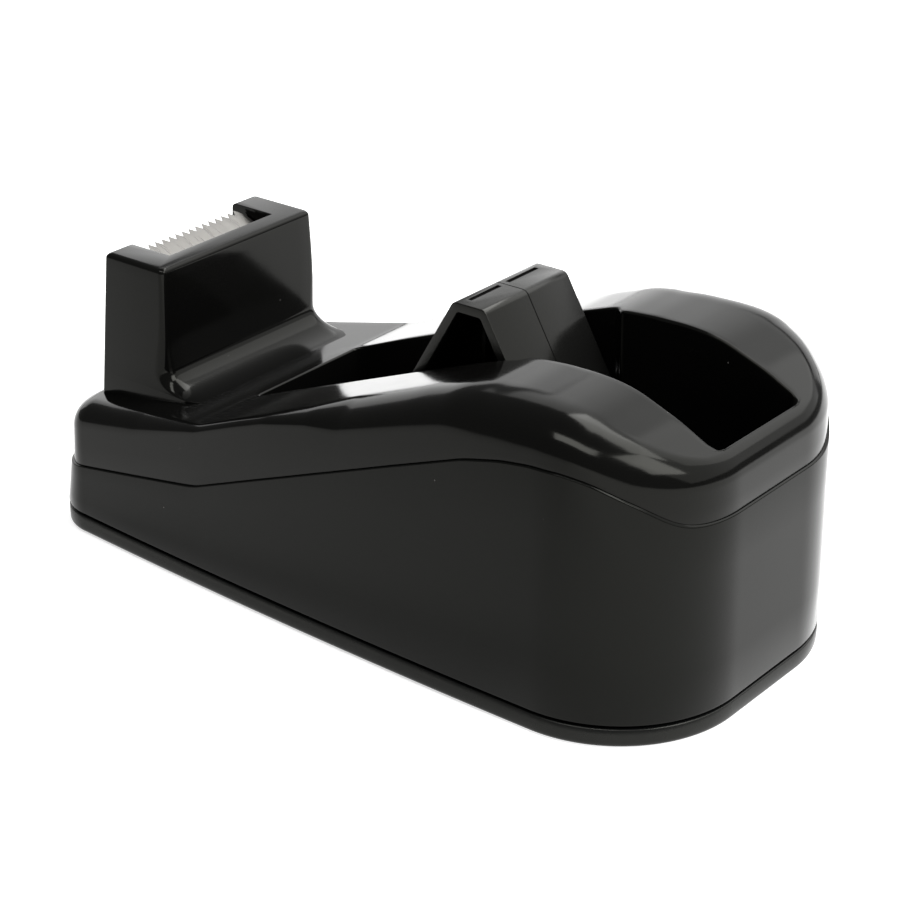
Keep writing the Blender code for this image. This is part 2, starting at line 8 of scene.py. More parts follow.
import bmesh
import bpy
import numpy as np
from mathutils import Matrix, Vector

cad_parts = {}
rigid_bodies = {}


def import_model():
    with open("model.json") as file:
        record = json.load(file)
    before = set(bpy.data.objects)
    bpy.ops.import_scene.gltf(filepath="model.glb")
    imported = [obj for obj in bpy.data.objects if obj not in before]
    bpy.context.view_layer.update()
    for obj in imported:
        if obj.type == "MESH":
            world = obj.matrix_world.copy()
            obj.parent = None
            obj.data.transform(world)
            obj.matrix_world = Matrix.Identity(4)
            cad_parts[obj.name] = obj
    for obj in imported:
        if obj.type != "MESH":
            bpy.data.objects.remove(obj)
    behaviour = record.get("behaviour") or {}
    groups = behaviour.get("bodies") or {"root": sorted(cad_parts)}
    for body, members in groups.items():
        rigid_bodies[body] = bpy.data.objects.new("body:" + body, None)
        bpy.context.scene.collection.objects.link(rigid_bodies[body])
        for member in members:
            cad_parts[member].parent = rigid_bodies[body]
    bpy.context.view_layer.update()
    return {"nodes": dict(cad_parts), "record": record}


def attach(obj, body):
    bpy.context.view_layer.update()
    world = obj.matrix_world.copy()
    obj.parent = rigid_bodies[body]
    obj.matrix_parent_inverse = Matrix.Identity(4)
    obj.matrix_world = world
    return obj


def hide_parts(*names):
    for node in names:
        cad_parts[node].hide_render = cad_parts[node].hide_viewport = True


MM = 0.001

# Plan of the body
HALF_LENGTH = 113.3
BACK_HALF_WIDTH = 56.5
WIDTH_TAPER = (2.9, -10.7)
BACK_RADIUS = 39.8
FRONT = -122.0
FRONT_RADIUS = 17.0
MIDDLE = (FRONT + HALF_LENGTH) / 2
FLOOR = -0.8

# Heights
PLATE_BOTTOM = -0.5
PLATE_EDGE = 5.3
PLATE_TOP = 6.1
BODY_BOTTOM = 6.35
WALL = 2.5

# Side profiles, as x and z pairs
SEAM = [(-113.3, 21.2), (-103, 23), (-54, 32.6), (-31.8, 41.7), (-2.8, 53.4), (24.2, 64.2), (49.4, 74.0),
        (62, 77.3), (72, 78.8), (81, 78.9), (85, 78.2), (89, 77.3), (92.2, 75.8), (96, 73.7), (100, 71.3),
        (102.3, 69.3), (105.3, 66.5), (108, 64.2), (110, 63.4), (113.3, 63.3)]
TOP = [(-122, 40.0), (-97, 44.1), (-78, 47.6), (-54, 52.0), (-36.6, 59.3), (-20.8, 65.5), (9.3, 77.5),
       (28.8, 85.3), (42, 90.0), (48.3, 91.4), (58, 92.3), (68.9, 92.5), (76, 92.0), (81.9, 90.9), (95, 86.0),
       (106.6, 80.2), (113.3, 76.9)]

# Cover: inset from the plan, how far its front leans back at the seam, halfway and at the shoulder
COVER_INSET = 1.05
COVER_LEAN = (3.2, 3.8, 4.2)
BODY_LEAN = 2.6
BODY_TOP_INSET = 0.4
PLATE_ROUND = 1.6

# Rounded shoulder along x: how far it reaches in from the wall, how far it drops, and the wall left below it
SHOULDER_REACH = [(-112, 8.0), (-80, 6.5), (-56, 2.9), (-25, 3.0), (-8, 7.0), (4, 12.0), (42, 13.0),
                  (52, 15.0), (88, 14.0), (104, 7.5), (112, 4.4)]
SHOULDER_DROP = [(-112, 8.0), (-80, 6.5), (-56, 2.9), (-25, 3.0), (-8, 5.0), (4, 8.0), (42, 10.0),
                 (56, 11.5), (88, 11.0), (104, 7.5), (112, 5.0)]
SHOULDER_ROOM = 3.0

# Crown of the top along x: the distance from the middle where it starts, and its fall at the wall
CROWN_START = [(40, 38.0), (52, 24.0), (60, 21.0)]
CROWN_FALL = [(-15, 0.0), (0, 0.3), (28, 0.6), (50, 0.4), (62, 0.0)]

# Well
WELL_FRONT = -54.0
WELL_BACK = 106.6
WELL_HALF = 23.7
WELL_HALF_BACK = 20.7
WELL_STEP = (43.5, 47.5)
WELL_FLOOR = 12.0
RIM_RADIUS = 0.9

# Cutter head
HEAD_TOP = 88.7
HEAD_FRONT = (-105.4, -107.7)
HEAD_REAR = (-81.3, -80.5)
HEAD_HALF = (33.5, 36.2)
HEAD_EDGE = 1.6
SWEEP_TOP = 57.0
SWEEP_END = (-66.0, 49.6)
SLOT_HALF = 23.0
SLOT_REAR = -88.4
SLOT_FLOOR = 75.0
BLADE_TIP = (-102.7, 87.6)
BLADE_HEEL = (-88.8, 81.8)
BLADE_THICK = 0.8
BLADE_HALF = 22.4
TOOTH_PITCH = 2.95
TOOTH_DEPTH = 2.4

# Hub
AXIS_X = 23.2
AXIS_Z = 61.7
HUB_HALF_LENGTH = 19.2
HUB_TIP = 37.7
HUB_FLAT = 5.6
HUB_WALL = 3.0
HUB_SPLIT = 0.12
TUBE_OUTER = 6.5
AXLE_RADIUS = 4.0
AXLE_SHOULDER = 20.3
AXLE_TIP = 25.3
BORE_RADIUS = 4.08
RIB_OFFSET = 4.6
RIB_HALF = 0.6
RIB_RECESS = (13.0, 4.0, 4.0)
TOP_SLOT_X = (-3.2, -1.7)
TOP_SLOT_Y = (1.8, 15.6)
TOP_SLOT_DEPTH = 0.7


# ---------------------------------------------------------------- shape helpers

def follow(profile, x, blend=2.5):
    """Height of a side profile at x, with its corners rounded over the blend length."""
    xs = [p[0] for p in profile]
    zs = [p[1] for p in profile]
    offsets = np.linspace(-blend, blend, 11)
    return float(np.mean(np.interp(x + offsets, xs, zs)))


def ramp(x, stops):
    """Value at x along straight lines between the stops."""
    return float(np.interp(x, [s[0] for s in stops], [s[1] for s in stops]))


def smooth_step(x, low, high):
    """0 below low and 1 above high, with an eased change between them."""
    t = min(1.0, max(0.0, (x - low) / (high - low)))
    return t * t * (3 - 2 * t)


def half_width(x):
    """Half the width of the plan, without its corners."""
    t = (HALF_LENGTH - x) / (2 * HALF_LENGTH)
    return BACK_HALF_WIDTH + WIDTH_TAPER[0] * t + WIDTH_TAPER[1] * t * t


def well_half(x):
    return WELL_HALF + (WELL_HALF_BACK - WELL_HALF) * smooth_step(x, *WELL_STEP)


def arc(cx, cy, radius, start, steps):
    """Quarter circle from an angle in degrees. Each entry is x, y and the outward normal."""
    found = []
    for k in range(steps + 1):
        turn = math.radians(start + 90 * k / steps)
        nx, ny = math.cos(turn), math.sin(turn)
        found.append((cx + radius * nx, cy + radius * ny, nx, ny))
    return found


def plan_points():
    """Near half of the plan outline, from the middle of the front to the middle of the back.

    Each entry is x, y and the outward normal.
    """
    found = []
    cx = FRONT + FRONT_RADIUS
    cy = -(half_width(cx) - FRONT_RADIUS)
    for k in range(10):
        found.append((FRONT, cy * k / 10, -1.0, 0.0))
    found += arc(cx, cy, FRONT_RADIUS, 180, 14)
    back_cx = HALF_LENGTH - BACK_RADIUS
    for k in range(1, 116):
        x = cx + (back_cx - cx) * k / 116
        found.append((x, -half_width(x), 0.0, -1.0))
    back_cy = -(half_width(back_cx) - BACK_RADIUS)
    found += arc(back_cx, back_cy, BACK_RADIUS, 270, 40)
    for k in range(1, 11):
        found.append((HALF_LENGTH, back_cy * (1 - k / 10), 1.0, 0.0))
    return found


PLAN = plan_points()


def mirrored(near):
    """Whole ring from its near half, whose first and last points lie on the middle plane."""
    return near + [(x, -y, z) for x, y, z in reversed(near[1:-1])]


def ring(inset, height, lean=0.0):
    """Ring at an inset from the plan, which may be a function of x. height may be a function of x and y.

    lean moves the front face back.
    """
    near = []
    for x, y, nx, ny in PLAN:
        depth = inset(x) if callable(inset) else inset
        px = x - nx * depth + max(0.0, -nx) * lean
        py = min(y - ny * depth, 0.0)
        near.append((px, py, height(px, py) if callable(height) else height))
    return mirrored(near)


def running_lengths(points):
    """Distance along a line of points to each of them."""
    lengths = [0.0]
    for a, b in zip(points, points[1:]):
        lengths.append(lengths[-1] + math.hypot(b[0] - a[0], b[1] - a[1]))
    return lengths


def well_path(grow):
    """Near half of the well's outline with one point for each plan point. grow moves it outwards."""
    front, back = WELL_FRONT - grow, WELL_BACK + grow
    front_lengths = running_lengths([p for p in PLAN if p[0] <= WELL_FRONT])
    back_lengths = running_lengths([p for p in reversed(PLAN) if p[0] >= WELL_BACK - 2.0])
    path = []
    for k, (x, _, _, _) in enumerate(PLAN):
        if k < len(front_lengths):
            share = front_lengths[k] / front_lengths[-1]
            path.append((front, -(WELL_HALF + grow) * share))
        elif k >= len(PLAN) - len(back_lengths):
            share = back_lengths[len(PLAN) - 1 - k] / back_lengths[-1]
            path.append((back, -(WELL_HALF_BACK + grow) * share))
        else:
            path.append((x, -(well_half(x) + grow)))
    return [round_corner(p, front, back, grow) for p in path]


def round_corner(point, front, back, grow, radius=2.6):
    """Moves a point near one of the well's corners onto an arc."""
    x, y = point
    radius = radius + grow
    for cx, half, side in ((front, WELL_HALF + grow, 1), (back, WELL_HALF_BACK + grow, -1)):
        from_x = side * (x - cx)
        from_y = half + y
        if from_x < radius and from_y < radius:
            along = from_x - from_y
            share = 0.5 + 0.5 * along / radius
            turn = share * math.pi / 2
            return (cx + side * radius * (1 - math.cos(turn)), -half + radius * (1 - math.sin(turn)))
    return point


def well_ring(grow, height):
    """Ring along the well's outline. height may be a function of x and y."""
    return mirrored([(x, y, height(x, y) if callable(height) else height) for x, y in well_path(grow)])


def blend_rings(a, b, share, lift=None):
    """Ring between two rings. lift gives its height from x, y and the plain height."""
    mixed = []
    for p, q in zip(a, b):
        x = p[0] + (q[0] - p[0]) * share
        y = p[1] + (q[1] - p[1]) * share
        z = p[2] + (q[2] - p[2]) * share
        mixed.append((x, y, lift(x, y, z) if lift else z))
    return mixed


def rounded_section(z, x0, x1, half, front_radius, rear_radius, steps=8):
    """Rounded rectangle at one height: the near half from front to back, then its mirror image."""
    near = [(x0, -(half - front_radius) * k / 6, z) for k in range(6)]
    for cx, start, radius in ((x0 + front_radius, 180, front_radius), (x1 - rear_radius, 270, rear_radius)):
        for k in range(steps + 1):
            turn = math.radians(start + 90 * k / steps)
            near.append((cx + radius * math.cos(turn), -(half - radius) + radius * math.sin(turn), z))
    near += [(x1, -(half - rear_radius) * (1 - k / 6), z) for k in range(1, 7)]
    return mirrored(near)


def mesh_object(name, points, faces, sharp=35):
    """Smooth-shaded object from points in the drawing's millimetres."""
    mesh = bpy.data.meshes.new(name)
    mesh.from_pydata([((x - MIDDLE) * MM, y * MM, (z - FLOOR) * MM) for x, y, z in points], [], faces)
    mesh.validate()
    shape = bmesh.new()
    shape.from_mesh(mesh)
    bmesh.ops.recalc_face_normals(shape, faces=shape.faces)
    shape.to_mesh(mesh)
    shape.free()
    obj = bpy.data.objects.new(name, mesh)
    bpy.context.scene.collection.objects.link(obj)
    soften(obj, sharp)
    return obj


def soften(obj, sharp=35):
    """Smooth shading that keeps edges over the angle sharp."""
    obj.data.shade_smooth()
    obj.data.set_sharp_from_angle(angle=math.radians(sharp))


def loft(rings, cap_start=False, cap_end=False):
    """Points and faces of a skin over rings that have the same number of points."""
    count = len(rings[0])
    points = [p for r in rings for p in r]
    faces = []
    for k in range(len(rings) - 1):
        a, b = k * count, (k + 1) * count
        faces += [(a + i, a + (i + 1) % count, b + (i + 1) % count, b + i) for i in range(count)]
    if cap_start:
        faces.append(tuple(range(count)))
    if cap_end:
        faces.append(tuple((len(rings) - 1) * count + i for i in range(count)))
    return points, faces


def prism(name, outline, y0, y1):
    """Solid with one side outline, a list of x and z, from y0 to y1."""
    count = len(outline)
    points = [(x, y, z) for y in (y0, y1) for x, z in outline]
    faces = [tuple(range(count)), tuple(range(count, 2 * count))]
    faces += [(k, (k + 1) % count, count + (k + 1) % count, count + k) for k in range(count)]
    return mesh_object(name, points, faces)


def combine(obj, other, operation):
    """Applies one exact Boolean and removes the other object."""
    modifier = obj.modifiers.new("combine", "BOOLEAN")
    modifier.operation = operation
    modifier.solver = "EXACT"
    modifier.object = other
    bake(obj)
    bpy.data.objects.remove(other, do_unlink=True)


def bake(obj):
    """Applies the object's modifiers."""
    bpy.context.view_layer.update()
    graph = bpy.context.evaluated_depsgraph_get()
    result = bpy.data.meshes.new_from_object(obj.evaluated_get(graph))
    obj.modifiers.clear()
    obj.data = result


def round_edges(obj, width, angle=40, segments=3):
    """Rounds the edges that turn more than the angle."""
    modifier = obj.modifiers.new("round", "BEVEL")
    modifier.width = width * MM
    modifier.segments = segments
    modifier.limit_method = "ANGLE"
    modifier.angle_limit = math.radians(angle)
    bake(obj)
    soften(obj, 40)


def join(objects, name):
    """One object with the meshes of all the objects, which are removed."""
    shape = bmesh.new()
    for obj in objects:
        shape.from_mesh(obj.data)
    mesh = bpy.data.meshes.new(name)
    shape.to_mesh(mesh)
    shape.free()
    for obj in objects:
        bpy.data.objects.remove(obj, do_unlink=True)
    joined = bpy.data.objects.new(name, mesh)
    bpy.context.scene.collection.objects.link(joined)
    soften(joined)
    return joined


# ---------------------------------------------------------------- materials

class Nodes:
    """Short way to build one material's nodes."""

    def __init__(self, name):
        self.material = bpy.data.materials.new(name)
        self.material.use_nodes = True
        self.tree = self.material.node_tree
        self.shader = self.tree.nodes["Principled BSDF"]
        self.space = self.add("ShaderNodeTexCoord").outputs["Object"]

    def add(self, kind, **inputs):
        node = self.tree.nodes.new(kind)
        for key, value in inputs.items():
            node.inputs[key.replace("_", " ")].default_value = value
        return node

    def link(self, source, target):
        self.tree.links.new(source, target)

    def noise(self, scale, detail=3.0, stretch=None):
        """Noise about 0.5 in object space, drawn out where stretch is small."""
        space = self.space
        if stretch:
            mapping = self.add("ShaderNodeMapping")
            mapping.inputs["Scale"].default_value = stretch
            self.link(self.space, mapping.inputs["Vector"])
            space = mapping.outputs["Vector"]
        node = self.add("ShaderNodeTexNoise", Scale=scale, Detail=detail)
        self.link(space, node.inputs["Vector"])
        return node.outputs["Fac"]

    def remap(self, source, low, high, from_low=0.3, from_high=0.7):
        """Value from low to high as the source goes from from_low to from_high."""
        node = self.add("ShaderNodeMapRange")
        node.inputs["From Min"].default_value = from_low
        node.inputs["From Max"].default_value = from_high
        node.inputs["To Min"].default_value = low
        node.inputs["To Max"].default_value = high
        self.link(source, node.inputs["Value"])
        return node.outputs["Result"]

    def mix(self, share, first, second):
        """Colour between two colours, each a tuple or another node's output."""
        node = self.add("ShaderNodeMix")
        node.data_type = "RGBA"
        for key, colour in (("A", first), ("B", second)):
            if isinstance(colour, tuple):
                node.inputs[key].default_value = colour
            else:
                self.link(colour, node.inputs[key])
        self.link(share, node.inputs["Factor"])
        return node.outputs["Result"]

    def bump(self, height, strength, distance):
        node = self.add("ShaderNodeBump")
        node.inputs["Strength"].default_value = strength
        node.inputs["Distance"].default_value = distance
        self.link(height, node.inputs["Height"])
        self.link(node.outputs["Normal"], self.shader.inputs["Normal"])


DUST_COLOUR = (0.25, 0.24, 0.23, 1.0)
GLOSS_TINT = (1.0, 1.0, 0.92, 1.0)


def scaled(colour, share):
    """Node colour at a share of a plain colour's brightness."""
    return (*[c * share for c in colour], 1.0)


def black_plastic(name, colour, rough, ior, dust=0.0, grain=0.02):
    """Moulded black plastic: colour drift, smudges in the gloss, fine grain and a few specks of dust."""
    nodes = Nodes(name)
    nodes.shader.inputs["IOR"].default_value = ior
    nodes.shader.inputs["Specular Tint"].default_value = GLOSS_TINT
    drift = nodes.remap(nodes.noise(14.0, 2.0), 0.0, 1.0)
    base = nodes.mix(drift, scaled(colour, 0.8), scaled(colour, 1.25))
    if dust:
        cells = nodes.add("ShaderNodeTexVoronoi", Scale=75.0)
        nodes.link(nodes.space, cells.inputs["Vector"])
        speck = nodes.remap(cells.outputs["Distance"], dust, 0.0, 0.008, 0.018)
        base = nodes.mix(speck, base, DUST_COLOUR)
    nodes.link(base, nodes.shader.inputs["Base Color"])
    smudge = nodes.noise(38.0, 5.0)
    nodes.link(nodes.remap(smudge, rough * 0.8, rough * 1.35), nodes.shader.inputs["Roughness"])
    nodes.bump(nodes.noise(900.0, 2.0), grain, 0.0002)
    return nodes.material


def steel(name, colour, rough, stretch):
    """Brushed steel whose lines run along the short direction of stretch."""
    nodes = Nodes(name)
    nodes.shader.inputs["Metallic"].default_value = 1.0
    lines = nodes.noise(60.0, 6.0, stretch)
    tint = nodes.mix(nodes.remap(lines, 0.0, 1.0), scaled(colour, 0.86), scaled(colour, 1.0))
    nodes.link(tint, nodes.shader.inputs["Base Color"])
    nodes.link(nodes.remap(lines, rough * 0.7, rough * 1.4), nodes.shader.inputs["Roughness"])
    nodes.bump(lines, 0.15, 0.0002)
    return nodes.material


def rough_solid(name, colour, rough, scale, bump, metal=0.0):
    """Plain rough material, for rubber and cast iron."""
    nodes = Nodes(name)
    nodes.shader.inputs["Metallic"].default_value = metal
    grain = nodes.noise(scale, 6.0)
    tint = nodes.mix(nodes.remap(grain, 0.0, 1.0), scaled(colour, 0.7), scaled(colour, 1.3))
    nodes.link(tint, nodes.shader.inputs["Base Color"])
    nodes.link(nodes.remap(grain, rough * 0.85, min(1.0, rough * 1.1)), nodes.shader.inputs["Roughness"])
    nodes.bump(grain, bump, 0.0005)
    return nodes.material


def make_materials():
    """All materials by the name of their slot in the record."""
    return {
        "cover_plastic": black_plastic("cover_plastic", (0.0018, 0.0018, 0.0017), 0.12, 1.2, dust=0.6),
        "body_plastic": black_plastic("body_plastic", (0.002, 0.0021, 0.0019), 0.13, 1.185, dust=0.6, grain=0.05),
        "base_plastic": black_plastic("base_plastic", (0.003, 0.0032, 0.0032), 0.25, 1.28, grain=0.1),
        "hub_plastic": black_plastic("hub_plastic", (0.0035, 0.0035, 0.0033), 0.2, 1.25, dust=0.6, grain=0.06),
        "blade_steel": steel("blade_steel", (0.14, 0.136, 0.128), 0.32, (1.0, 14.0, 1.0)),
        "screw_steel": steel("screw_steel", (0.55, 0.55, 0.56), 0.35, (4.0, 4.0, 1.0)),
        "ballast_iron": rough_solid("ballast_iron", (0.06, 0.058, 0.056), 0.75, 300.0, 0.6, metal=1.0),
        "foot_rubber": rough_solid("foot_rubber", (0.014, 0.014, 0.014), 0.85, 700.0, 0.3),
    }


# ---------------------------------------------------------------- pieces

def seam_height(x):
    return follow(SEAM, x)


def crown_fall(x, y):
    """How far the top surface drops towards the side: nothing on the flat ledge, more over the hump."""
    wall = half_width(min(x, HALF_LENGTH - BACK_RADIUS)) - COVER_INSET
    start = ramp(x, CROWN_START)
    out = max(0.0, (abs(y) - start) / (wall - start))
    return ramp(x, CROWN_FALL) * out ** 2


def top_height(x, y):
    return follow(TOP, x) - crown_fall(x, y)


def shoulder_drop(x, y):
    room = top_height(x, y) - seam_height(x) - SHOULDER_ROOM
    return min(room, ramp(x, SHOULDER_DROP))


def cover_shell():
    """Outer skin of the cover: skirt, wall, rounded shoulder, top, rim of the well and the well itself."""
    low_lean, middle_lean, high_lean = COVER_LEAN

    def above_seam(rise):
        return lambda x, y: seam_height(x) + rise

    def level(turn):
        return lambda x, y: top_height(x, y) - shoulder_drop(x, y) * (1 - math.sin(turn))

    def reach(turn):
        return lambda x: COVER_INSET + 0.2 + ramp(x, SHOULDER_REACH) * (1 - math.cos(turn))

    lip = [(WALL, 6.0), (WALL, 0.12), (0.2, 0.12), (0.04, 0.2), (0.0, 0.4)]
    rings = [ring(COVER_INSET + inset, above_seam(rise), low_lean) for inset, rise in lip]
    rings.append(ring(COVER_INSET + 0.1, lambda x, y: 0.5 * (seam_height(x) + level(0.0)(x, y)), middle_lean))
    steps = 12
    for k in range(steps + 1):
        turn = math.pi / 2 * k / steps
        rings.append(ring(reach(turn), level(turn), high_lean))
    rim = well_ring(RIM_RADIUS, lambda x, y: follow(TOP, x))
    last = rings[-1]
    for share in (0.08, 0.16, 0.25, 0.35, 0.46, 0.58, 0.7, 0.82, 0.92):
        rings.append(blend_rings(last, rim, share, lambda x, y, z: top_height(x, y)))
    rings.append(rim)
    for k in range(1, 6):
        turn = math.pi / 2 * k / 5
        rings.append(well_ring(RIM_RADIUS * (1 - math.sin(turn)),
                               lambda x, y, turn=turn: follow(TOP, x) - RIM_RADIUS * (1 - math.cos(turn))))
    for share in (0.25, 0.5, 0.75):
        rings.append(well_ring(-0.4 * share, lambda x, y, s=share: follow(TOP, x) * (1 - s) + WELL_FLOOR * s))
    rings += [well_ring(grow, WELL_FLOOR + rise) for grow, rise in ((-0.4, 1.0), (-0.7, 0.3), (-1.4, 0.0))]
    return mesh_object("cover_shell", *loft(rings, cap_end=True), sharp=50)


def head_sections():
    """Sections of the cutter head from inside the cover up to its rounded top edge."""
    rows = [(38.0, SWEEP_END[0])]
    steps = 18
    for k in range(steps, -1, -1):
        turn = math.pi / 2 * k / steps
        z = SWEEP_TOP - (SWEEP_TOP - SWEEP_END[1]) * math.sin(turn)
        rows.append((z, SWEEP_END[0] - (SWEEP_END[0] - HEAD_REAR[1]) * math.cos(turn)))
    for z in (66.0, 72.0, 78.0, 84.0, HEAD_TOP - HEAD_EDGE):
        share = (z - SWEEP_TOP) / (HEAD_TOP - SWEEP_TOP)
        rows.append((z, HEAD_REAR[1] + (HEAD_REAR[0] - HEAD_REAR[1]) * share))
    done = []
    for z, rear in rows:
        share = (z - 41.0) / (HEAD_TOP - 41.0)
        front = HEAD_FRONT[1] + (HEAD_FRONT[0] - HEAD_FRONT[1]) * share
        half = HEAD_HALF[1] + (HEAD_HALF[0] - HEAD_HALF[1]) * share
        low = (HEAD_TOP - z) / (HEAD_TOP - SWEEP_END[1])
        done.append((z, front, rear, half, 1.0, 1.8 + 4.8 * min(1.0, low) ** 3))
    z, front, rear, half, r0, r1 = done[-1]
    for k in range(1, 6):
        turn = math.pi / 2 * k / 5
        pull = HEAD_EDGE * (1 - math.cos(turn))
        done.append((z + HEAD_EDGE * math.sin(turn), front + pull, rear - pull, half - pull, r0, r1))
    return done


def make_cover(materials):
    shell = cover_shell()
    sections = [rounded_section(*s) for s in head_sections()]
    head = mesh_object("head", *loft(sections, cap_start=True, cap_end=True))
    outline = [(-120, SLOT_FLOOR), (SLOT_REAR, SLOT_FLOOR), (SLOT_REAR, 100), (-120, 100)]
    slot = prism("slot", outline, -SLOT_HALF, SLOT_HALF)
    combine(head, slot, "DIFFERENCE")
    round_edges(head, 0.7, angle=50)
    cover = join([shell, head], "cover")
    soften(cover, 50)
    cover.data.materials.append(materials["cover_plastic"])
    return cover


def make_body(materials):
    """Lower shell: a leaning wall from the base plate up to the seam, with its inside faces."""

    def below_seam(drop):
        return lambda x, y: seam_height(x) - drop

    def up_wall(share):
        return lambda x, y: BODY_BOTTOM + share * (seam_height(x) - BODY_BOTTOM)

    rings = [ring(WALL, BODY_BOTTOM), ring(0.5, BODY_BOTTOM), ring(0.12, BODY_BOTTOM + 0.12),
             ring(0.0, BODY_BOTTOM + 0.5)]
    rings += [ring(BODY_TOP_INSET * share, up_wall(share), BODY_LEAN * share) for share in (0.25, 0.5, 0.75)]
    edge = [(BODY_TOP_INSET, 0.4), (0.46, 0.15), (0.62, 0.0), (0.6 + WALL, 0.0), (0.6 + WALL, 8.0)]
    rings += [ring(inset, below_seam(drop), BODY_LEAN) for inset, drop in edge]
    rings.append(ring(WALL, BODY_BOTTOM))
    body = mesh_object("body", *loft(rings), sharp=50)
    body.data.materials.append(materials["body_plastic"])
    return body


def make_base(materials):
    """Bottom plate with a rounded lower edge and a step up into the body."""
    rings = [ring(2.2, PLATE_BOTTOM)]
    for k in range(7):
        turn = math.pi / 2 * k / 6
        height = PLATE_BOTTOM + PLATE_ROUND * (1 - math.cos(turn))
        rings.append(ring(PLATE_ROUND * (1 - math.sin(turn)), height))
    rings += [ring(0.0, PLATE_EDGE - 0.3), ring(0.3, PLATE_EDGE), ring(1.9, PLATE_EDGE), ring(1.9, PLATE_TOP)]
    base = mesh_object("base", *loft(rings, cap_start=True, cap_end=True), sharp=50)
    base.data.materials.append(materials["base_plastic"])
    return base


def blade_point(share, rise=0.0):
    """x and z at a share of the way from the blade's heel to its tip. rise is square to its face."""
    dx = BLADE_TIP[0] - BLADE_HEEL[0]
    dz = BLADE_TIP[1] - BLADE_HEEL[1]
    length = math.hypot(dx, dz)
    return BLADE_HEEL[0] + dx * share + rise * dz / length, BLADE_HEEL[1] + dz * share - rise * dx / length


def make_blade(materials):
    """Steel strip with ground teeth along its raised front edge."""
    length = math.hypot(BLADE_TIP[0] - BLADE_HEEL[0], BLADE_TIP[1] - BLADE_HEEL[1])
    root = 1.0 - TOOTH_DEPTH / length
    ground = root - 1.6 / length
    teeth = int(2 * BLADE_HALF / TOOTH_PITCH)
    start = -teeth * TOOTH_PITCH / 2
    edge = [(-BLADE_HALF, root)]
    for k in range(teeth):
        edge += [(start + k * TOOTH_PITCH + 0.12, root), (start + (k + 0.5) * TOOTH_PITCH, 1.0),
                 (start + (k + 1) * TOOTH_PITCH - 0.12, root)]
    edge.append((BLADE_HALF, root))
    lines = []
    for share, rise in ((0.0, -BLADE_THICK), (0.0, 0.0), (ground, 0.0)):
        lines.append([(y, share, rise) for y, _ in edge])
    lines.append([(y, s, -0.12 - 0.25 * (s - root) / (1 - root)) for y, s in edge])
    lines.append([(y, s, -0.5 + 0.05 * (s - root) / (1 - root)) for y, s in edge])
    lines.append([(y, ground, -BLADE_THICK) for y, _ in edge])
    count = len(edge)
    points = []
    for line in lines:
        for y, share, rise in line:
            x, z = blade_point(share, rise)
            points.append((x, y, z))
    faces = []
    for k in range(len(lines)):
        a, b = k * count, ((k + 1) % len(lines)) * count
        faces += [(a + i, a + i + 1, b + i + 1, b + i) for i in range(count - 1)]
    faces.append(tuple(k * count for k in range(len(lines))))
    faces.append(tuple(k * count + count - 1 for k in range(len(lines))))
    blade = mesh_object("blade", points, faces, sharp=20)
    blade.data.materials.append(materials["blade_steel"])
    return blade


def make_carrier(materials):
    """Wedge that holds the blade at its slope."""
    front = blade_point(0.80, -BLADE_THICK - 0.15)
    rear = blade_point(0.0, -BLADE_THICK - 0.15)
    nose = -102.6
    heel = SLOT_REAR - 0.4
    foot = SLOT_FLOOR + 0.3
    outline = [(nose, foot), (heel, foot), (heel, rear[1]), front, (nose, front[1] - 1.2)]
    carrier = prism("carrier", outline, -BLADE_HALF, BLADE_HALF)
    round_edges(carrier, 0.3, 30, 2)
    carrier.data.materials.append(materials["hub_plastic"])
    return carrier


def rounded(corners, radius, steps=6):
    """Outline with each corner replaced by a circular arc."""
    result = []
    count = len(corners)
    for k in range(count):
        p = np.array(corners[k])
        a = np.array(corners[k - 1]) - p
        b = np.array(corners[(k + 1) % count]) - p
        a /= np.linalg.norm(a)
        b /= np.linalg.norm(b)
        half = 0.5 * math.acos(float(np.clip(np.dot(a, b), -1, 1)))
        middle = p + (a + b) / np.linalg.norm(a + b) * radius / math.sin(half)
        start = p + a * radius / math.tan(half) - middle
        end = p + b * radius / math.tan(half) - middle
        for s in range(steps + 1):
            mixed = start * (1 - s / steps) + end * s / steps
            q = middle + mixed / np.linalg.norm(mixed) * radius
            result.append((float(q[0]), float(q[1])))
    return result


def hub_outline(shrink=0.0, radius=2.6):
    """Six-cornered outline with three long sides about the hub axis, as x and z."""
    tip = HUB_TIP - shrink
    flat = HUB_FLAT - shrink * math.tan(math.radians(30))
    corners = []
    for k in range(3):
        angle = math.radians(-120 * k)
        for sx in (-flat, flat):
            corners.append((AXIS_X + sx * math.cos(angle) - tip * math.sin(angle),
                            AXIS_Z + sx * math.sin(angle) + tip * math.cos(angle)))
    return rounded(corners, max(0.8, radius - shrink * 0.5))


def circle(radius, sides=48):
    """Circle about the hub axis, as x and z."""
    turns = [2 * math.pi * k / sides for k in range(sides)]
    return [(AXIS_X + radius * math.cos(turn), AXIS_Z + radius * math.sin(turn)) for turn in turns]


def tube_along(name, outlines):
    """Loft along Y. outlines is a list of y and a list of x and z; the first and last are capped."""
    rings = [[(x, y, z) for x, z in outline] for y, outline in outlines]
    return mesh_object(name, *loft(rings, cap_start=True, cap_end=True), sharp=40)


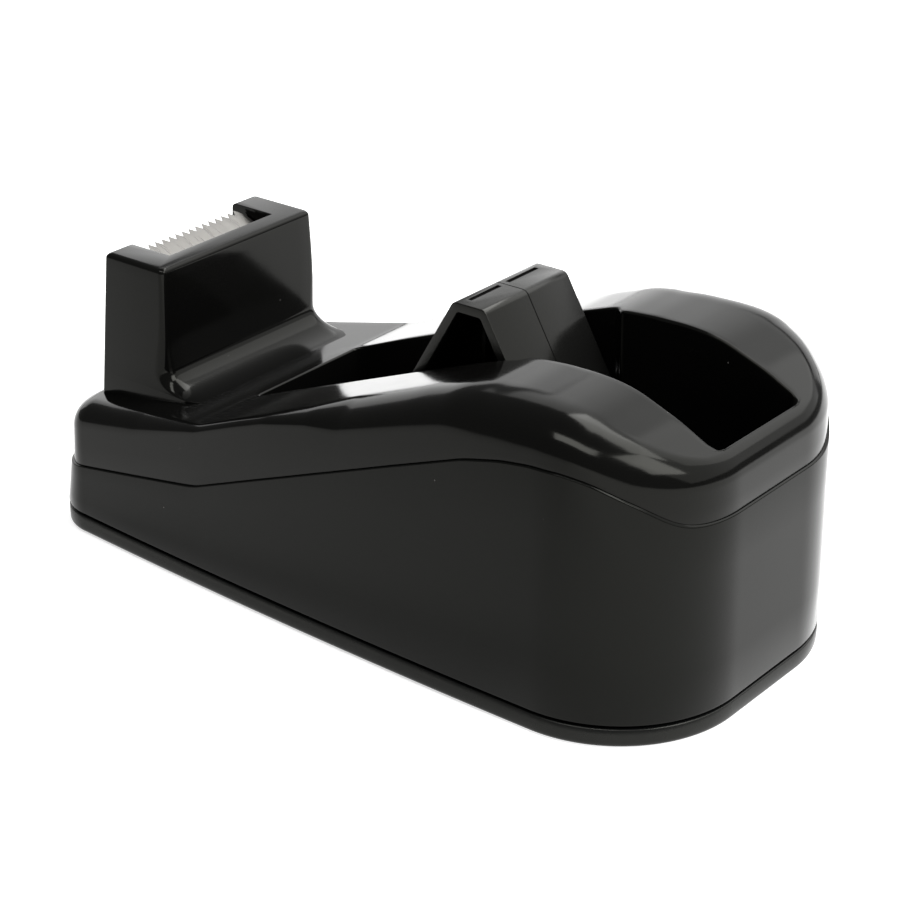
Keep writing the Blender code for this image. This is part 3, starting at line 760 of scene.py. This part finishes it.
def make_hub_half(materials, side):
    """One half of the hub: hollow shell with a web at the split, a tube and three double ribs."""
    split = HUB_SPLIT / 2
    web = split + 2.4
    end = HUB_HALF_LENGTH
    skin = [(split, 0.15), (split + 0.15, 0.0), (end - 0.35, 0.0), (end - 0.1, 0.1), (end, 0.35),
            (end, HUB_WALL - 0.3), (end - 0.3, HUB_WALL), (web, HUB_WALL)]
    shell = tube_along("shell", [(side * y, hub_outline(shrink)) for y, shrink in skin])
    y0, y1 = sorted((-side * 3.0, side * 30))
    combine(shell, prism("bore", circle(BORE_RADIUS), y0, y1), "DIFFERENCE")
    x0, x1 = (AXIS_X + x for x in TOP_SLOT_X)
    y0, y1 = sorted(side * y for y in TOP_SLOT_Y)
    z0, z1 = AXIS_Z + HUB_TIP - TOP_SLOT_DEPTH, AXIS_Z + HUB_TIP + 2
    combine(shell, prism("top_slot", [(x0, z0), (x1, z0), (x1, z1), (x0, z1)], y0, y1), "DIFFERENCE")

    turned = [(web - 0.5, TUBE_OUTER), (end - 1.3, TUBE_OUTER), (end - 1.0, TUBE_OUTER - 0.3),
              (end - 1.0, BORE_RADIUS + 0.3), (end - 1.3, BORE_RADIUS), (web - 0.5, BORE_RADIUS)]
    tube = mesh_object("tube", *loft([[(x, side * y, z) for x, z in circle(radius)] for y, radius in turned]))
    parts = [shell, tube]
    middle = np.array([AXIS_X, AXIS_Z])
    for k, recess in enumerate(RIB_RECESS):
        angle = math.radians(90 - 120 * k)
        along = np.array([math.cos(angle), math.sin(angle)])
        wide = np.array([-along[1], along[0]])
        y0, y1 = sorted((side * (web - 0.5), side * (end - recess)))
        for offset in (-RIB_OFFSET, RIB_OFFSET):
            inner = middle + along * 4.4 + wide * offset
            outer = middle + along * (HUB_TIP - 1.5) + wide * offset
            thick = wide * RIB_HALF
            corners = (inner - thick, outer - thick, outer + thick, inner + thick)
            parts.append(prism("rib", [tuple(corner) for corner in corners], y0, y1))
    half = join(parts, "hub_near_half" if side < 0 else "hub_far_half")
    soften(half, 40)
    half.data.materials.append(materials["hub_plastic"])
    return half


def make_axle(materials):
    """Short axle with a neck at each end, where it rests in the grooves."""
    neck = [(-AXLE_TIP, 2.6), (-AXLE_TIP + 0.4, 3.0), (-AXLE_SHOULDER, 3.0), (-AXLE_SHOULDER, 3.7),
            (-AXLE_SHOULDER + 0.3, AXLE_RADIUS)]
    profile = neck + [(-y, r) for y, r in reversed(neck)]
    axle = tube_along("axle", [(y, circle(r)) for y, r in profile])
    axle.data.materials.append(materials["screw_steel"])
    return axle


# ---------------------------------------------------------------- stage

CAMERA_AZIMUTH = 38.415
CAMERA_ELEVATION = 25.532
CAMERA_DISTANCE = 742.269
CAMERA_TARGET = (1.447 - MIDDLE, 0.0, 41.67 - FLOOR)
CAMERA_LENS = 100.19

# Overhead panels: name, place in x and y, and size, in metres. They face a point just above the floor
PANELS = [("window_near", (0.12, -0.68), (1.10, 0.40)), ("window_far", (0.25, 0.60), (1.50, 0.46)),
          ("window_back", (1.45, -0.05), (0.85, 1.00))]
PANEL_HEIGHT = 1.5
PANEL_AIM = 0.08
PANEL_RADIANCE = 10.0


def aim(obj, azimuth, elevation, distance, target):
    """Places an object on a sphere round the target, facing it."""
    az, el = math.radians(azimuth), math.radians(elevation)
    back = (math.sin(az) * math.cos(el), -math.cos(az) * math.cos(el), math.sin(el))
    obj.location = [(t + b * distance) * MM for t, b in zip(target, back)]
    obj.rotation_euler = (math.pi / 2 - el, 0.0, az)


def softbox(name, azimuth, elevation, distance, width, height, radiance):
    """Rectangular light facing the object. Its power follows from its area in square metres."""
    data = bpy.data.lights.new(name, "AREA")
    data.shape = "RECTANGLE"
    data.size = width
    data.size_y = height
    data.energy = radiance * math.pi * width * height
    light = bpy.data.objects.new(name, data)
    bpy.context.scene.collection.objects.link(light)
    aim(light, azimuth, elevation, distance, (0.0, 0.0, 50.0))
    return light


def make_stage():
    """Camera, dim white surroundings, soft lights and floor."""
    scene = bpy.context.scene
    scene.view_settings.view_transform = "Standard"
    camera_data = bpy.data.cameras.new("camera")
    camera_data.lens = CAMERA_LENS
    camera_data.sensor_width = 36.0
    camera_data.clip_start = 0.01
    camera = bpy.data.objects.new("camera", camera_data)
    scene.collection.objects.link(camera)
    aim(camera, CAMERA_AZIMUTH, CAMERA_ELEVATION, CAMERA_DISTANCE, CAMERA_TARGET)
    scene.camera = camera

    world = bpy.data.worlds.new("studio")
    scene.world = world
    world.use_nodes = True
    world.node_tree.nodes["Background"].inputs["Color"].default_value = (1.0, 1.0, 0.995, 1.0)
    world.node_tree.nodes["Background"].inputs["Strength"].default_value = 0.3

    sweep = softbox("sweep", 180, 45, 2200, 3.0, 1.6, 2.2)
    sweep.location = (0.0, 1.6, 1.5)
    sweep.rotation_euler = (math.radians(-10), 0.0, 0.0)
    softbox("side", 130, 36, 1700, 2.6, 1.5, 1.7)
    softbox("backdrop", 218, 15, 1100, 2.2, 0.5, 1.85)
    for name, place, size in PANELS:
        panel = softbox(name, 0, 90, 1500, size[0], size[1], PANEL_RADIANCE)
        panel.location = (*place, PANEL_HEIGHT)
        panel.rotation_euler = Vector((*place, PANEL_HEIGHT - PANEL_AIM)).to_track_quat("Z", "Y").to_euler()

    make_floor()


def make_floor():
    """Matt pale floor that glows a little more behind the object and beyond its back end."""
    bpy.ops.mesh.primitive_plane_add(size=12.0, location=(0, 0, 0))
    floor = bpy.context.object
    floor.name = "floor"
    nodes = Nodes("floor_paper")
    nodes.shader.inputs["Roughness"].default_value = 0.9
    nodes.shader.inputs["Specular IOR Level"].default_value = 0.0
    nodes.shader.inputs["Emission Color"].default_value = (1.0, 1.0, 1.0, 1.0)
    place = nodes.add("ShaderNodeSeparateXYZ")
    nodes.link(nodes.space, place.inputs["Vector"])
    behind = nodes.remap(place.outputs["Y"], 0.62, 2.0, 0.05, 0.5)
    beside = nodes.remap(place.outputs["X"], 0.62, 1.45, 0.05, 0.2)
    brighter = nodes.add("ShaderNodeMath")
    brighter.operation = "MAXIMUM"
    nodes.link(behind, brighter.inputs[0])
    nodes.link(beside, brighter.inputs[1])
    nodes.link(brighter.outputs["Value"], nodes.shader.inputs["Emission Strength"])
    cloud = nodes.remap(nodes.noise(3.0), 0.0, 1.0)
    shade = nodes.mix(cloud, (0.49, 0.49, 0.488, 1.0), (0.51, 0.51, 0.508, 1.0))
    nodes.link(shade, nodes.shader.inputs["Base Color"])
    floor.data.materials.append(nodes.material)


# ---------------------------------------------------------------- assembly

def main():
    bpy.ops.object.select_all(action="SELECT")
    bpy.ops.object.delete()
    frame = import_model()
    materials = make_materials()
    slots = {s["node"]: s["material_slot"] for s in frame["record"]["subparts"]}
    for name, node in frame["nodes"].items():
        node.data.materials.clear()
        node.data.materials.append(materials[slots[name]])
        soften(node, 30)

    fixed = [(make_cover(materials), "top_cover"), (make_body(materials), "lower_body"),
             (make_base(materials), "base_plate"), (make_blade(materials), "cutter_blade"),
             (make_carrier(materials), "blade_carrier")]
    for piece, node in fixed:
        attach(piece, "dispenser")
        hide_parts(node)
    for side, node in ((-1, "hub_half_near"), (1, "hub_half_far")):
        half = make_hub_half(materials, side)
        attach(half, "hub")
        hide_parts(node)
    axle = make_axle(materials)
    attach(axle, "axle")
    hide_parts("hub_axle")
    make_stage()

    bpy.context.view_layer.update()


main()
